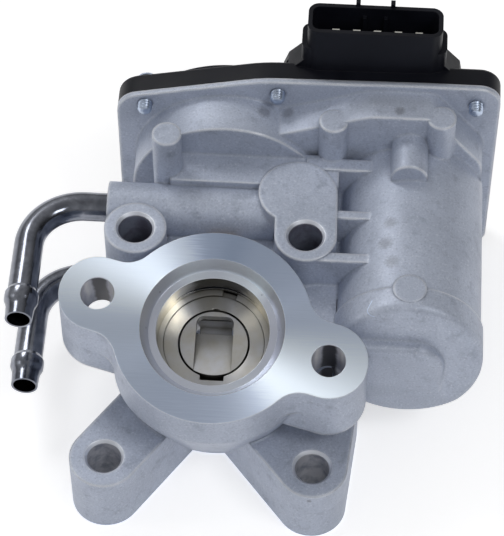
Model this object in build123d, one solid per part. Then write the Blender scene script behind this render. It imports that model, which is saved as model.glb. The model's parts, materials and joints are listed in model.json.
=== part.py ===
from build123d import *
import os
from math import acos, atan2, cos, pi, radians, sin, sqrt, tan

# EGR valve: a swivelling flap in a cast housing, turned by an electric motor through two gear pairs.
# Millimetres. The origin is the centre of the outlet on the base face, +X right, +Y to the gear
# case, +Z up. The inlet leans to the front, and the flap shaft, idler and motor all lie along Y.

os.makedirs("parts", exist_ok=True)

# gas passage
INLET_TILT = 15.0          # lean of the inlet axis from vertical
SHAFT_Z = 35.4             # height of the flap shaft
TURN_Z = 20.8              # where the inlet axis meets the outlet axis
OUTLET_R = 12.0
PASSAGE_R = 11.5           # leaning bore under the seat
FACE_UP = 15.9             # inlet face above the shaft, along the inlet axis
MOUTH_R = 19.1
LEDGE_R = 17.0
MOUTH_DEPTH = 3.65
BORE_R = 15.0
# inlet flange
RING_R = 26.5
EAR_SPAN = 63.6            # between the two flange bolts
EAR_TURN = -14.2           # bolt line, turned in the flange plane
EAR_R = 10.3
EAR_HOLE_R = 4.5
EAR_DEEP = 17.5
RING_DEEP = 9.9            # straight wall under the ring
FOOT_X, FOOT_Y = 20.0, 14.9
EAR_BLEND = 8.0
# base
FRONT_BOLT_X, FRONT_BOLT_Y = 27.75, -30.2
REAR_BOLT_X, REAR_BOLT_Y = 22.9, 22.4
BASE_HOLE_R = 4.6
LEG_R = 9.4
LEG_TOP = 19.8
REAR_TOP = 52.0
REAR_BOSS_R = 8.4
HOLE_CHAMFER = 0.7
# seat and flap
SEAT_OUT_R = 14.9
SEAT_TOP_R = 13.4
SEAT_BORE_R = 9.6
FLAP_R = 9.5               # radius of the ball that the flap's rim is part of
FLAP_LOW, FLAP_TOP = 0.3, 2.9
SEAT_DEEP = 9.5            # below the shaft
SEAT_NOTCH = (3.2, 1.4, 6.0)       # half width, half length and depth of the sleeve's front notch
FLAP_SLOT = (-10.5, 7.7)           # front and back end of the slot, open at the front
RING_WIRE = 1.2
RING_SEAT_DROP = 0.5
RING_SPREAD, RING_REACH = 0.5, 1.45    # ring past the bore, outwards and inwards
RING_GAP, RING_GAP_TURN = 4.0, 76.0
SHAFT_R = 5.0
SHAFT_FIT = 0.03
SHAFT_CLEAR = 0.35
SHAFT_FLAT = 0.7           # height of the shaft's flat over its axis
NOSE_LONG = 11.0
SHAFT_NOTCH = (3.7, 8.0, 2.5)      # start, end and depth below the axis
# bearings
BUSH_OUT_R = 7.0
BUSH_LONG = 11.0
SEAL_FRONT_Y, SEAL_LONG = 33.0, 5.0
BUSH_FRONT_Y = 17.0
# gear case
CASE_FRONT_Y = 49.7
CASE_STEP_Y = 52.1
PLATE_Y = 61.7
PLATE_THICK = 1.6
CASE_WALL = 2.8
CASE_L, CASE_R = -31.3, 74.0
CASE_LOW, CASE_HIGH = 1.0, 69.2
LOBE_R = 26.5
SCREW_ROOM = 4.9           # motor screw's head to the roof of the case
HUMP_LOW = 9.5
# cover and connector
COVER_RIM = 6.6            # depth of the cover at its edge
COVER_WALL = 1.8
DOME_R, DOME_BACK = 17.5, 76.3
CROWN = 1.4                # raised ring over the output gear
SEAL_IN, SEAL_OUT, SEAL_THICK = 0.4, 1.3, 1.2
SHROUD_X, SHROUD_Y = 38.9, 71.9
SHROUD_W, SHROUD_D = 36.4, 10.6
SHROUD_TOP = 84.0
SHROUD_WALL = 1.2
COLLAR_W, COLLAR_LOW, COLLAR_TOP = 39.4, 58.0, 76.5
SOCKET_FLOOR = 73.0
TAB_X = (34.0, 43.4)
KEY_X = (35.9, 41.6)
PIN_COUNT, PIN_MIDDLE = 5, 39.5
PIN_PITCH = 5.6
PIN_Y = 70.2
PIN_W, PIN_T = 2.0, 0.64
PIN_TIP = 81.4
PIN_FOOT = 66.0
# gears
MODULE = 1.0
PRESSURE = 25.0
OUT_TEETH, SMALL_TEETH = 52, 12
BIG_TEETH, PINION_TEETH = 32, 10
BACKLASH = 0.12            # taken off each tooth at the pitch circle
GEAR_AIR = 0.8             # gears to case
OUT_GEAR_LONG = 3.6
HUB_R, HUB_FRONT_Y = 7.6, 56.0
HUB_BACK = 2.4             # hub behind the gear
BIG_GEAR_Y, BIG_GEAR_LONG = 55.7, 3.9
PINION_FRONT_Y, PINION_LONG = 55.3, 4.9
IDLER_PIN_R = 2.5
IDLER_FIT = 0.03
PIN_SINK = 6.0
# sensor and spring
MAGNET_R, MAGNET_LONG = 5.5, 1.3
BOARD_SIZE, BOARD_THICK = 22.0, 1.6
SPRING_IN_R, SPRING_THICK, SPRING_PITCH = 8.4, 0.7, 1.3
SPRING_HALVES = 7          # half turns
SPRING_FRONT_Y, SPRING_WIDE = 54.5, 5.0
# motor
MOTOR_X = 51.3
TUBE_R = 20.4
CAP_Y = -2.6
CAP_RIM_Y = 4.6
CAP_WALL = 4.0
CAP_BLOCK = 5.6
CAP_LEAN_Z, CAP_ROUND = 24.0, 2.4      # the front leans above this height
TUBE_STEP = 0.6            # tube under the rim of its cap
CAN_R, CAN_WALL = 16.2, 1.3
CAN_FRONT_Y, CAN_BACK_Y = 3.6, 51.0
WASHER_WIDE = 3.0
MAGNET_THICK = 3.4
AIR_GAP = 0.6
ROTOR_SHAFT_R = 1.6
ROTOR_FIT = 0.03
BEARING_R, BEARING_LONG = 4.0, 4.0
CORE_FRONT_Y, CORE_LONG = 14.0, 19.0
COIL_OVER = 3.0            # windings beyond each end of the core
POLES = 5
COMMUTATOR_R, COMMUTATOR_LONG = 5.0, 7.5
BRUSH_W, BRUSH_LONG, BRUSH_OUT = 5.0, 3.6, 11.5
BRUSH_FIT = 0.05
HOLDER_THICK = 2.0
HOLDER_WALL = 1.0
END_WEB = 1.6
MOTOR_SCREWS = [(50.0, 56.5), (61.95, 17.0)]
MOTOR_SCREW_R, EAR_THICK = 1.5, 1.4
MOTOR_HEAD_R, MOTOR_HEAD = 2.8, 1.8
MOTOR_SCREW_SINK = 7.0
# coolant
COOLANT_Y, COOLANT_Z = 35.4, 43.2
COOLANT_R = 7.3
DRUM_X = -31.6
COOLANT_BORE = 2.9
LINK_X, LINK_R = -17.0, 2.4     # upright drilling that joins the two
PIPE_R = 4.0
PIPE_WALL = 0.9
PIPE_BEND = 14.0
PIPE_SINK = 5.0
PIPE_X = -52.1             # straight run to the hose
PIPE_OUT, LOW_PIPE_OUT = 38.9, 37.4      # from the drilling forward to the hose end
BEAD_R = 4.6
BEAD_BACK = 7.0            # middle of the bead behind the hose end
LOW_PIPE_Y, LOW_PIPE_Z = 31.0, 16.0
# features of the casting
SHELF_Z, STEP_Z = 41.0, 51.0
PAD_Y, PAD_R = 37.1, 10.6
WEBS = [(16.0, 2.8), (30.4, 2.6), (47.6, 4.0)]
# cover screws
SCREW_R, SCREW_CLEAR = 2.0, 0.35
SCREW_OUT = 3.0            # thread showing in front of the plate
SCREW_HEAD_R, SCREW_HEAD = 2.9, 1.0

TILT = radians(INLET_TILT)
SHAFT_Y = -(SHAFT_Z - TURN_Z) * tan(TILT)
UP = Vector(0, -sin(TILT), cos(TILT))
SHAFT_MID = Vector(0, SHAFT_Y, SHAFT_Z)
inlet = Plane(origin=SHAFT_MID, x_dir=(1, 0, 0), z_dir=UP)
face = inlet.offset(FACE_UP)
CAVITY_Y = CASE_FRONT_Y + CASE_WALL
CASE_BACK = PLATE_Y + PLATE_THICK
EAR_Y = CASE_STEP_Y + CASE_WALL       # floor of the gear case round the motor
COVER_BACK = CASE_BACK + COVER_RIM
OUT_GEAR_Y = CASE_BACK + 0.5
OUT_GEAR_BACK = OUT_GEAR_Y + OUT_GEAR_LONG
OUT_R = MODULE * OUT_TEETH / 2
ADDENDUM, DEDENDUM = 0.8 * MODULE, 1.05 * MODULE
REACH_1 = MODULE * (OUT_TEETH + SMALL_TEETH) / 2
REACH_2 = MODULE * (BIG_TEETH + PINION_TEETH) / 2
IDLER_X = (REACH_1 ** 2 - REACH_2 ** 2 + MOTOR_X ** 2) / (2 * MOTOR_X)
IDLER_Z = SHAFT_Z + sqrt(REACH_1 ** 2 - IDLER_X ** 2)
LINE_1 = atan2(IDLER_Z - SHAFT_Z, IDLER_X)
LINE_2 = atan2(SHAFT_Z - IDLER_Z, MOTOR_X - IDLER_X)
COVER_ROOM_R = OUT_R + ADDENDUM + GEAR_AIR
CASE_PLATEAU = MOTOR_SCREWS[0][1] + MOTOR_HEAD_R + SCREW_ROOM + CASE_WALL
MAGNET_IN_R = CAN_R - CAN_WALL - MAGNET_THICK
COMMUTATOR_Y = CORE_FRONT_Y + CORE_LONG + COIL_OVER + 1.0
BRUSH_Y = COMMUTATOR_Y + 2.2


def save(node, shape):
    """Writes one sub-part to its STEP file."""
    shape.label = node
    export_step(shape, f"parts/{node}.step")


def at_y(y):
    """Drawing plane facing the front at depth y, with X to the right and Z up."""
    return Plane(origin=(0, y, 0), x_dir=(1, 0, 0), z_dir=(0, -1, 0))


def block(outline, y0, y1):
    """Outline drawn in X and Z, carried from depth y0 back to y1."""
    return extrude(at_y(y1) * outline, y1 - y0)


def rod(x, z, r, y0, y1):
    """Cylinder along Y."""
    return block(Pos(x, z) * Circle(r), y0, y1)


def tube(x, z, r_out, r_in, y0, y1):
    """Ring along Y."""
    return rod(x, z, r_out, y0, y1) - rod(x, z, r_in, y0, y1)


def post(x, y, r, z0, z1):
    """Cylinder along Z."""
    return extrude(Plane.XY.offset(z0) * Pos(x, y) * Circle(r), z1 - z0)


def hull(circles):
    """Outline round a set of (x, y, r) circles."""
    edges = [Pos(x, y) * Circle(r).edge() for x, y, r in circles]
    return make_hull(edges)


def leaning(r, low, high):
    """Cylinder on the inlet axis, between two heights over the shaft."""
    return extrude(inlet.offset(low) * Circle(r), high - low)


# ---------------------------------------------------------------- housing


def ear_spots():
    a = radians(EAR_TURN)
    x, y = EAR_SPAN / 2 * cos(a), EAR_SPAN / 2 * sin(a)
    return [(-x, -y), (x, y)]


def flange():
    """Inlet flange: a ring and two deeper ears, faced at the lean and drawn straight down."""
    ears = hull([(*spot, EAR_R) for spot in ear_spots()])
    outline = Circle(RING_R) + ears
    corners = [v for v in outline.vertices() if abs(v.Y) < RING_R]
    side = EAR_SPAN / 2 - 0.1      # the blend ends before the straight side of the ear does
    room = (side ** 2 - RING_R ** 2 + EAR_R ** 2) / (RING_R - EAR_R) / 2
    outline = fillet(corners, min(EAR_BLEND, room))
    ring = extrude(face * outline, RING_DEEP, dir=(0, 0, -1))
    return ring + extrude(face * ears, EAR_DEEP, dir=(0, 0, -1))


def neck():
    """Body below the flange, drawn in to an oval foot round the outlet."""
    low_z = face.origin.Z - RING_R * sin(TILT) - RING_DEEP
    wide = Plane.XY.offset(low_z) * Pos(0, face.origin.Y) * Ellipse(RING_R, RING_R * cos(TILT))
    foot = Plane.XY * Ellipse(FOOT_X, FOOT_Y)
    return loft([foot, wide]) + extrude(wide, RING_DEEP)


def legs():
    """Base arms out to the front bolts, and the tall bosses of the rear bolts."""
    left = hull([(-FRONT_BOLT_X, FRONT_BOLT_Y, LEG_R), (-10.0, -4.0, LEG_R)])
    right = hull([(FRONT_BOLT_X, FRONT_BOLT_Y, LEG_R), (3.5, 0, LEG_R), (30.0, -6.0, LEG_R)])
    arms = extrude(left, LEG_TOP) + extrude(right, LEG_TOP)
    inner_r = REAR_BOSS_R - 1.2
    rear = hull([(-REAR_BOLT_X, REAR_BOLT_Y, inner_r), (0, 4.0, OUTLET_R),
                 (REAR_BOLT_X, REAR_BOLT_Y, inner_r)])
    boss = post(-REAR_BOLT_X, REAR_BOLT_Y, REAR_BOSS_R, 0, REAR_TOP)
    return arms + extrude(rear, LEG_TOP) + boss


def key_pad():
    """Tall keyhole boss of the right rear bolt, with three webs out to the motor tube."""
    stem = hull([(REAR_BOLT_X, REAR_BOLT_Y, REAR_BOSS_R), (REAR_BOLT_X - 0.4, PAD_Y, REAR_BOSS_R)])
    outline = stem + Pos(REAR_BOLT_X - 2.9, PAD_Y) * Circle(PAD_R)
    pad = extrude(Plane.XY.offset(SHELF_Z - 4) * outline, REAR_TOP - SHELF_Z + 4)
    pad += post(REAR_BOLT_X, REAR_BOLT_Y, REAR_BOSS_R + 0.1, 0, SHELF_Z)
    for y, wide in WEBS:
        web = Plane.XY.offset(SHELF_Z - 4) * Pos(31.5, y) * Rectangle(19, wide)
        pad += extrude(web, REAR_TOP - 0.4 - SHELF_Z + 4)
    return pad


def middle_block():
    """Solid casting between the neck and the gear case: shelf, step and the two coolant drums."""
    low = LEG_TOP - 2
    shelf = extrude(Plane.XY.offset(low) * Pos(8.5, 22.5) * Rectangle(47, 55), SHELF_Z - low)
    side = extrude(Plane.XY.offset(low) * Pos(30, 30) * Rectangle(20, 40), SHELF_Z - low)
    step = extrude(Plane.XY.offset(SHELF_Z - 6) * Pos(8.0, 45.5) * Rectangle(46, 11), STEP_Z - SHELF_Z + 6)
    body = shelf + side + step
    for y, z in coolant_spots():
        body += extrude(across(DRUM_X, y, z) * Circle(COOLANT_R), 45.5 if z > SHELF_Z else 22)
    return body


def across(x, y, z):
    """Drawing plane that faces +X."""
    return Plane(origin=(x, y, z), x_dir=(0, 1, 0), z_dir=(1, 0, 0))


def coolant_spots():
    return [(COOLANT_Y, COOLANT_Z), (LOW_PIPE_Y, LOW_PIPE_Z)]


def case_outline():
    """Edge of the gear case plate and of its cover, drawn in X and Z."""
    pts = [(CASE_L, 12), (CASE_L, 58.8), (9, CASE_HIGH - 1), (54, CASE_HIGH), (CASE_R, CASE_HIGH),
           (CASE_R, CASE_LOW), (22, CASE_LOW), (-12, 5)]
    face_ = make_face(Polyline(*pts, close=True))
    rounds = [(CASE_L, 58.8, 7), (CASE_R, CASE_HIGH, 6), (CASE_R, CASE_LOW, 5), (CASE_L, 12, 12),
              (9, CASE_HIGH - 1, 40), (22, CASE_LOW, 30), (-12, 5, 12)]
    return fillet_points(face_, rounds)


def fillet_points(face_, rounds):
    """Rounds named corners of a face, each with its own radius."""
    for x, y, r in rounds:
        corner = min(face_.vertices(), key=lambda v: (v.X - x) ** 2 + (v.Y - y) ** 2)
        face_ = fillet(corner, r)
    return face_


def lobe_outline(inset=0.0):
    """Outline of the gear case's round hump over the output gear, drawn in X and Z."""
    return Pos(0, SHAFT_Z) * Circle(LOBE_R - inset)


def right_outline(inset=0.0):
    """Outline of the hump over the idler, the motor pinion and the terminals."""
    pts = [(0, 45), (13.7, 57.6), (39.0, CASE_PLATEAU), (56, CASE_PLATEAU), (70.2, 49), (70.2, HUMP_LOW),
           (14, HUMP_LOW), (0, 20)]
    face_ = make_face(Polyline(*pts, close=True))
    face_ = fillet_points(face_, [(39.0, CASE_PLATEAU, 12), (56, CASE_PLATEAU, 5), (70.2, 49, 8),
                                  (70.2, HUMP_LOW, 9)])
    return offset(face_, -inset) if inset else face_


def gear_case():
    """Plate with two humps in front of it."""
    plate = block(case_outline(), PLATE_Y, CASE_BACK)
    lobe = block(lobe_outline(), CASE_FRONT_Y, PLATE_Y + 1)
    right = block(right_outline(), CASE_STEP_Y, PLATE_Y + 1)
    return plate + lobe + right


def gear_room():
    """Hollow of the gear case, open to the cover."""
    lobe = block(lobe_outline(CASE_WALL), CAVITY_Y, CASE_BACK)
    right = block(right_outline(CASE_WALL), CASE_STEP_Y + CASE_WALL, CASE_BACK)
    return lobe + right


def motor_cap():
    """Closed end of the motor tube: its front leans out to the level of the block, then drops."""
    low_y, high_z = CAP_Y - CAP_BLOCK, SHAFT_Z + TUBE_R
    lean = atan2(CAP_BLOCK, high_z - CAP_LEAN_Z)
    drop = rod(MOTOR_X, SHAFT_Z, TUBE_R + 0.3, low_y, CAP_RIM_Y + 1)
    long = rod(MOTOR_X, SHAFT_Z, TUBE_R, low_y - CAP_BLOCK, CAP_RIM_Y)
    front = Plane(origin=(MOTOR_X, CAP_Y, high_z), x_dir=(1, 0, 0), z_dir=(0, -cos(lean), sin(lean)))
    long -= extrude(front * Rectangle(4 * TUBE_R, 8 * TUBE_R), 4 * CAP_BLOCK)
    body = fillet(long.edges().group_by(Axis.Y)[0], CAP_ROUND)
    body &= fillet(drop.edges().group_by(Axis.Y)[0], CAP_ROUND + 0.3)
    top, side, wide = SHAFT_Z + 8.6, MOTOR_X + 10.2, 34.0
    outline = Pos(side - wide / 2, top - wide / 2) * RectangleRounded(wide, wide, 8.5)
    raised = block(outline, low_y, CAP_Y + 2)
    raised &= rod(MOTOR_X, SHAFT_Z, TUBE_R - 3.0, low_y, CAP_Y + 2)
    return body + fillet(raised.edges().group_by(Axis.Y)[0], 1.8)


def motor_tube():
    """Round tube of the motor with its cap, two ribs and a pad."""
    body = rod(MOTOR_X, SHAFT_Z, TUBE_R - TUBE_STEP, CAP_RIM_Y - 1, CASE_STEP_Y + 1) + motor_cap()
    rib = rod(MOTOR_X - 1.3, SHAFT_Z + TUBE_R, 5.0, 40.5, CASE_STEP_Y + 1)
    low_rib = rod(*MOTOR_SCREWS[1], 4.6, 42.0, CASE_STEP_Y + 1)
    pad = post(MOTOR_X - 0.2, CAP_RIM_Y - 0.8, 4.5, SHAFT_Z + TUBE_R - 5, SHAFT_Z + TUBE_R + 0.1)
    return body + rib + low_rib + pad


def posts():
    """Three ejector posts in front of the gear case."""
    return (post(-15.9, 44.7, 4.0, 40, 65) + post(28.9, 52.6, 4.0, 44, 64.2)
            + post(58.0, 53.4, 4.0, 48, 66.6))


def screw_spots():
    """Places of the cover screws in X and Z."""
    return [(-23.4, 57.0), (13.2, 63.8), (67.4, 62.6), (-23.4, 13.2), (24.0, 7.0), (67.0, 8.0)]


def housing():
    body = neck() + flange() + legs() + key_pad() + middle_block()
    body = body + gear_case() + motor_tube() + posts()
    # gas passage
    body -= extrude(Plane.XY * Circle(OUTLET_R), TURN_Z)
    body -= Pos(0, 0, TURN_Z) * Sphere(OUTLET_R)
    body -= leaning(PASSAGE_R, -SHAFT_MID.Z / 3, 0)
    body -= leaning(SEAT_OUT_R, -SEAT_DEEP, FACE_UP - MOUTH_DEPTH - 1)
    body -= leaning(BORE_R, FLAP_TOP, FACE_UP - MOUTH_DEPTH)
    mouth = loft([inlet.offset(FACE_UP - MOUTH_DEPTH) * Circle(LEDGE_R), face * Circle(MOUTH_R)])
    body -= mouth + extrude(face * Circle(MOUTH_R), 4)
    body -= leaning(BORE_R + 0.7, ring_low(), ring_low() + RING_WIRE + 0.1)
    # bolt holes
    for spot in ear_spots():
        drill = face.offset(-EAR_DEEP - 12) * Pos(*spot) * Circle(EAR_HOLE_R)
        body -= extrude(drill, EAR_DEEP + 42)
    for x, y, top in base_bolts():
        body -= post(x, y, BASE_HOLE_R, -1, top + 25)
        body -= extrude(Plane.XY.offset(top - HOLE_CHAMFER) * Pos(x, y) * Circle(BASE_HOLE_R),
                        HOLE_CHAMFER, taper=-45)
    # shaft bearings, gear case and motor
    body -= rod(0, SHAFT_Z, BUSH_OUT_R, BUSH_FRONT_Y, CAVITY_Y + 1)
    body -= rod(0, SHAFT_Z, SHAFT_R + SHAFT_CLEAR, SHAFT_Y + 8, BUSH_FRONT_Y)
    body -= gear_room()
    body -= rod(MOTOR_X, SHAFT_Z, CAN_R, CAP_Y + CAP_WALL, CASE_STEP_Y + CASE_WALL + 1)
    for x, z in MOTOR_SCREWS:
        body -= rod(x, z, MOTOR_SCREW_R, EAR_Y - MOTOR_SCREW_SINK - 1, EAR_Y + 1)
    body -= rod(IDLER_X, IDLER_Z, IDLER_PIN_R, EAR_Y - PIN_SINK, CASE_BACK)
    body += idler_boss()
    for x, z in screw_spots():
        body -= rod(x, z, SCREW_R, PLATE_Y - 1, CASE_BACK + 1)
    # coolant drillings, joined inside the casting
    for y, z in coolant_spots():
        body -= extrude(across(DRUM_X - 1, y, z) * Circle(PIPE_R), PIPE_SINK + 1)
        body -= extrude(across(DRUM_X - 1, y, z) * Circle(COOLANT_BORE), LINK_X - DRUM_X + 5)
    body -= post(LINK_X, (COOLANT_Y + LOW_PIPE_Y) / 2, LINK_R, LOW_PIPE_Z, COOLANT_Z)
    return body


def idler_boss():
    """Pad round the idler pin in the floor of the gear case, drilled for the pin."""
    return tube(IDLER_X, IDLER_Z, IDLER_PIN_R + 2.2, IDLER_PIN_R, EAR_Y - PIN_SINK - 1.5, EAR_Y) \
        + rod(IDLER_X, IDLER_Z, IDLER_PIN_R + 2.2, EAR_Y - PIN_SINK - 1.5, EAR_Y - PIN_SINK)


def base_bolts():
    return [(-FRONT_BOLT_X, FRONT_BOLT_Y, LEG_TOP), (FRONT_BOLT_X, FRONT_BOLT_Y, LEG_TOP),
            (-REAR_BOLT_X, REAR_BOLT_Y, REAR_TOP), (REAR_BOLT_X, REAR_BOLT_Y, REAR_TOP)]


def ring_low():
    """Height of the retaining ring's underside over the shaft, on the inlet axis."""
    return FLAP_TOP - RING_SEAT_DROP


# ---------------------------------------------------------------- gas side


def seat_sleeve():
    """Steel liner of the bore, held down by the retaining ring, with a hole for the shaft."""
    body = leaning(SEAT_OUT_R, -SEAT_DEEP, ring_low()) + leaning(SEAT_TOP_R, ring_low() - 0.5, FLAP_TOP)
    body -= leaning(SEAT_BORE_R, -SEAT_DEEP - 1, FLAP_TOP + 1)
    body -= rod(0, SHAFT_Z, SHAFT_R + SHAFT_CLEAR, SHAFT_Y, SHAFT_Y + 25)
    half_w, half_l, deep = SEAT_NOTCH
    notch = inlet.offset(FLAP_TOP - deep) * Pos(0, -9.0) * Rectangle(2 * half_w, 2 * half_l)
    return body - extrude(notch, deep + 1)


def retaining_ring():
    """Split wire ring, sprung into its groove over the sleeve."""
    plane = inlet.offset(ring_low())
    ring = plane * Circle(BORE_R + RING_SPREAD) - plane * Circle(BORE_R - RING_REACH)
    gap = plane * Rot(0, 0, RING_GAP_TURN) * Pos(BORE_R, 0) * Rectangle(6, RING_GAP)
    return extrude(ring - gap, RING_WIRE)


def nose_ball(extra=0.0):
    return Pos(*SHAFT_MID) * Sphere(FLAP_R + extra)


def valve_shaft():
    """Flap shaft: a flatted nose in the gas, then round through the bushes to the gear."""
    nose_end = SHAFT_Y + NOSE_LONG
    nose = rod(0, SHAFT_Z, SHAFT_R, SHAFT_Y - FLAP_R, nose_end)
    nose += block(Pos(0, SHAFT_Z + SHAFT_FLAT / 2) * Rectangle(2 * SHAFT_R, SHAFT_FLAT),
                  SHAFT_Y - FLAP_R, SHAFT_Y + FLAP_SLOT[1])
    nose -= block(Pos(0, SHAFT_Z + SHAFT_FLAT + SHAFT_R) * Rectangle(3 * SHAFT_R, 2 * SHAFT_R),
                  SHAFT_Y - FLAP_R - 1, nose_end + 1)
    nose -= block(Pos(0, SHAFT_Z - SHAFT_NOTCH[2] + SHAFT_R) * Rectangle(3 * SHAFT_R, 2 * SHAFT_R),
                  SHAFT_Y + SHAFT_NOTCH[0], SHAFT_Y + SHAFT_NOTCH[1])
    front = nose & (nose_ball() + rod(0, SHAFT_Z, SHAFT_R, SHAFT_Y, nose_end))
    return front + rod(0, SHAFT_Z, SHAFT_R, nose_end, OUT_GEAR_BACK)


def flap_disc():
    """Round flap with a ball-shaped rim, slotted over the flat of the shaft."""
    disc = leaning(FLAP_R + 1, FLAP_LOW, FLAP_TOP) & nose_ball()
    low, high = FLAP_SLOT
    slot = RectangleRounded(2 * SHAFT_R, high - low, 2.0)
    slot += Pos(0, -(high - low) / 4) * Rectangle(2 * SHAFT_R, (high - low) / 2)
    return disc - extrude(inlet * Pos(0, (low + high) / 2) * slot, FLAP_TOP + 1)


def bush(y0, long, fit=SHAFT_FIT):
    """Plain ring round the flap shaft."""
    return tube(0, SHAFT_Z, BUSH_OUT_R, SHAFT_R + fit, y0, y0 + long)


# ---------------------------------------------------------------- gears


def tooth_flank(teeth):
    """Radius and half angle of one tooth, from root to tip, on an involute."""
    pitch = MODULE * teeth / 2
    base = pitch * cos(radians(PRESSURE))
    root, tip = pitch - DEDENDUM, pitch + ADDENDUM
    start = max(base, root)
    lean = pi / 2 / teeth - BACKLASH / 2 / pitch + tan(radians(PRESSURE)) - radians(PRESSURE)
    flank = [(root, lean)] if root < base else []
    for step in range(3):
        r = start + (tip - start) * step / 2
        roll = acos(min(1.0, base / r))
        flank.append((r, lean - tan(roll) + roll))
    return flank


def gear_face(teeth, turn):
    """Toothed outline with one tooth at the given angle."""
    pts = []
    flank = tooth_flank(teeth)
    for k in range(teeth):
        middle = turn + 2 * pi * k / teeth
        for r, half in flank:
            pts.append((r * cos(middle - half), r * sin(middle - half)))
        for r, half in reversed(flank):
            pts.append((r * cos(middle + half), r * sin(middle + half)))
    return make_face(Polyline(*pts, close=True))


def output_gear():
    """Wide gear with a long hub, moulded on the flap shaft, lightened by six holes."""
    teeth = block(Pos(0, SHAFT_Z) * gear_face(OUT_TEETH, LINE_1), OUT_GEAR_Y, OUT_GEAR_BACK)
    for k in range(6):
        turn = pi / 6 + k * pi / 3
        x, z = 16.2 * cos(turn), SHAFT_Z + 16.2 * sin(turn)
        teeth -= rod(x, z, 4.6, OUT_GEAR_Y - 1, OUT_GEAR_BACK + 1)
    hub = rod(0, SHAFT_Z, HUB_R, HUB_FRONT_Y, OUT_GEAR_BACK + HUB_BACK)
    return teeth + hub - rod(0, SHAFT_Z, SHAFT_R, HUB_FRONT_Y - 1, OUT_GEAR_BACK)


def sensor_magnet():
    """Round magnet on the back of the gear's hub."""
    y0 = OUT_GEAR_BACK + HUB_BACK
    return rod(0, SHAFT_Z, MAGNET_R, y0, y0 + MAGNET_LONG)


def intermediate_gear():
    """Big wheel and small pinion in one piece, turning on the idler pin."""
    wheel = Pos(IDLER_X, IDLER_Z) * gear_face(BIG_TEETH, LINE_2)
    big = block(wheel, BIG_GEAR_Y, BIG_GEAR_Y + BIG_GEAR_LONG)
    small = block(Pos(IDLER_X, IDLER_Z) * gear_face(SMALL_TEETH, LINE_1 + pi + pi / SMALL_TEETH),
                  BIG_GEAR_Y, OUT_GEAR_BACK + 0.2)
    return big + small - rod(IDLER_X, IDLER_Z, IDLER_PIN_R + IDLER_FIT, BIG_GEAR_Y - 1, OUT_GEAR_BACK + 1)


def idler_pin():
    return rod(IDLER_X, IDLER_Z, IDLER_PIN_R, EAR_Y - PIN_SINK, COVER_BACK - 0.4)


def return_spring():
    """Flat spiral spring about the hub of the output gear, drawn as half turns that grow."""
    grow = SPRING_PITCH / 2
    edges = []
    for k in range(SPRING_HALVES):
        for side in (0, SPRING_THICK):
            edges.append(CenterArc(((k % 2) * grow, 0), SPRING_IN_R + k * grow + side, (k % 2) * 180, 180))
    inner_end = Line(edges[0] @ 0, edges[1] @ 0)
    outer_end = Line(edges[-2] @ 1, edges[-1] @ 1)
    strip = make_face(edges + [inner_end, outer_end])
    return block(Pos(0, SHAFT_Z) * strip, SPRING_FRONT_Y, SPRING_FRONT_Y + SPRING_WIDE)


# ---------------------------------------------------------------- motor


def motor_can():
    """Drawn steel can with a closed front and a cup for the front bearing."""
    body = tube(MOTOR_X, SHAFT_Z, CAN_R, CAN_R - CAN_WALL, CAN_FRONT_Y, CAN_BACK_Y)
    body += rod(MOTOR_X, SHAFT_Z, CAN_R, CAN_FRONT_Y, CAN_FRONT_Y + CAN_WALL)
    y0 = CAN_FRONT_Y + CAN_WALL
    return body + tube(MOTOR_X, SHAFT_Z, BEARING_R + 1.2, BEARING_R, y0 - 0.2, y0 + BEARING_LONG)


def motor_magnets():
    """Two arc magnets inside the can."""
    y0, y1 = CORE_FRONT_Y - 1, CORE_FRONT_Y + CORE_LONG + 1
    ring = tube(MOTOR_X, SHAFT_Z, CAN_R - CAN_WALL, MAGNET_IN_R, y0, y1)
    gap = block(Pos(MOTOR_X, SHAFT_Z) * Rectangle(9, 2 * CAN_R), 0, CAN_BACK_Y)
    return ring - gap


def armature_core():
    """Laminated core with five shoes."""
    r = MAGNET_IN_R - AIR_GAP
    outline = Circle(r)
    for k in range(POLES):
        turn = Rot(0, 0, 90 + (k + 0.5) * 360 / POLES)
        outline -= turn * Pos(r * 0.63, 0) * Circle(r * 0.245)
        outline -= turn * Pos(r * 0.85, 0) * Rectangle(r * 0.4, 1.4)
    outline -= Circle(ROTOR_SHAFT_R)
    return block(Pos(MOTOR_X, SHAFT_Z) * outline, CORE_FRONT_Y, CORE_FRONT_Y + CORE_LONG)


def armature_windings():
    """Copper in the five slots, with a coil end at each end of the core."""
    r = MAGNET_IN_R - AIR_GAP
    y0, y1 = CORE_FRONT_Y, CORE_FRONT_Y + CORE_LONG
    body = None
    for low, high in ((y0 - COIL_OVER, y0), (y1, y1 + COIL_OVER)):
        end = tube(MOTOR_X, SHAFT_Z, r * 0.82, r * 0.3, low, high)
        body = end if body is None else body + end
    for k in range(POLES):
        turn = radians(90 + (k + 0.5) * 360 / POLES)
        x, z = MOTOR_X + r * 0.63 * cos(turn), SHAFT_Z + r * 0.63 * sin(turn)
        body += rod(x, z, r * 0.18, y0 - 0.5, y1 + 0.5)
    return body


def commutator():
    """Copper barrel with a slot between each pair of bars and a raised collar."""
    y0 = COMMUTATOR_Y
    body = rod(MOTOR_X, SHAFT_Z, COMMUTATOR_R, y0, y0 + COMMUTATOR_LONG)
    body += rod(MOTOR_X, SHAFT_Z, COMMUTATOR_R + 0.9, y0, y0 + 1)
    return body - rod(MOTOR_X, SHAFT_Z, ROTOR_SHAFT_R, y0 - 1, y0 + COMMUTATOR_LONG + 1)


def motor_shaft():
    return rod(MOTOR_X, SHAFT_Z, ROTOR_SHAFT_R, CAN_FRONT_Y + CAN_WALL + 0.5, PINION_FRONT_Y + PINION_LONG)


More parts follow.
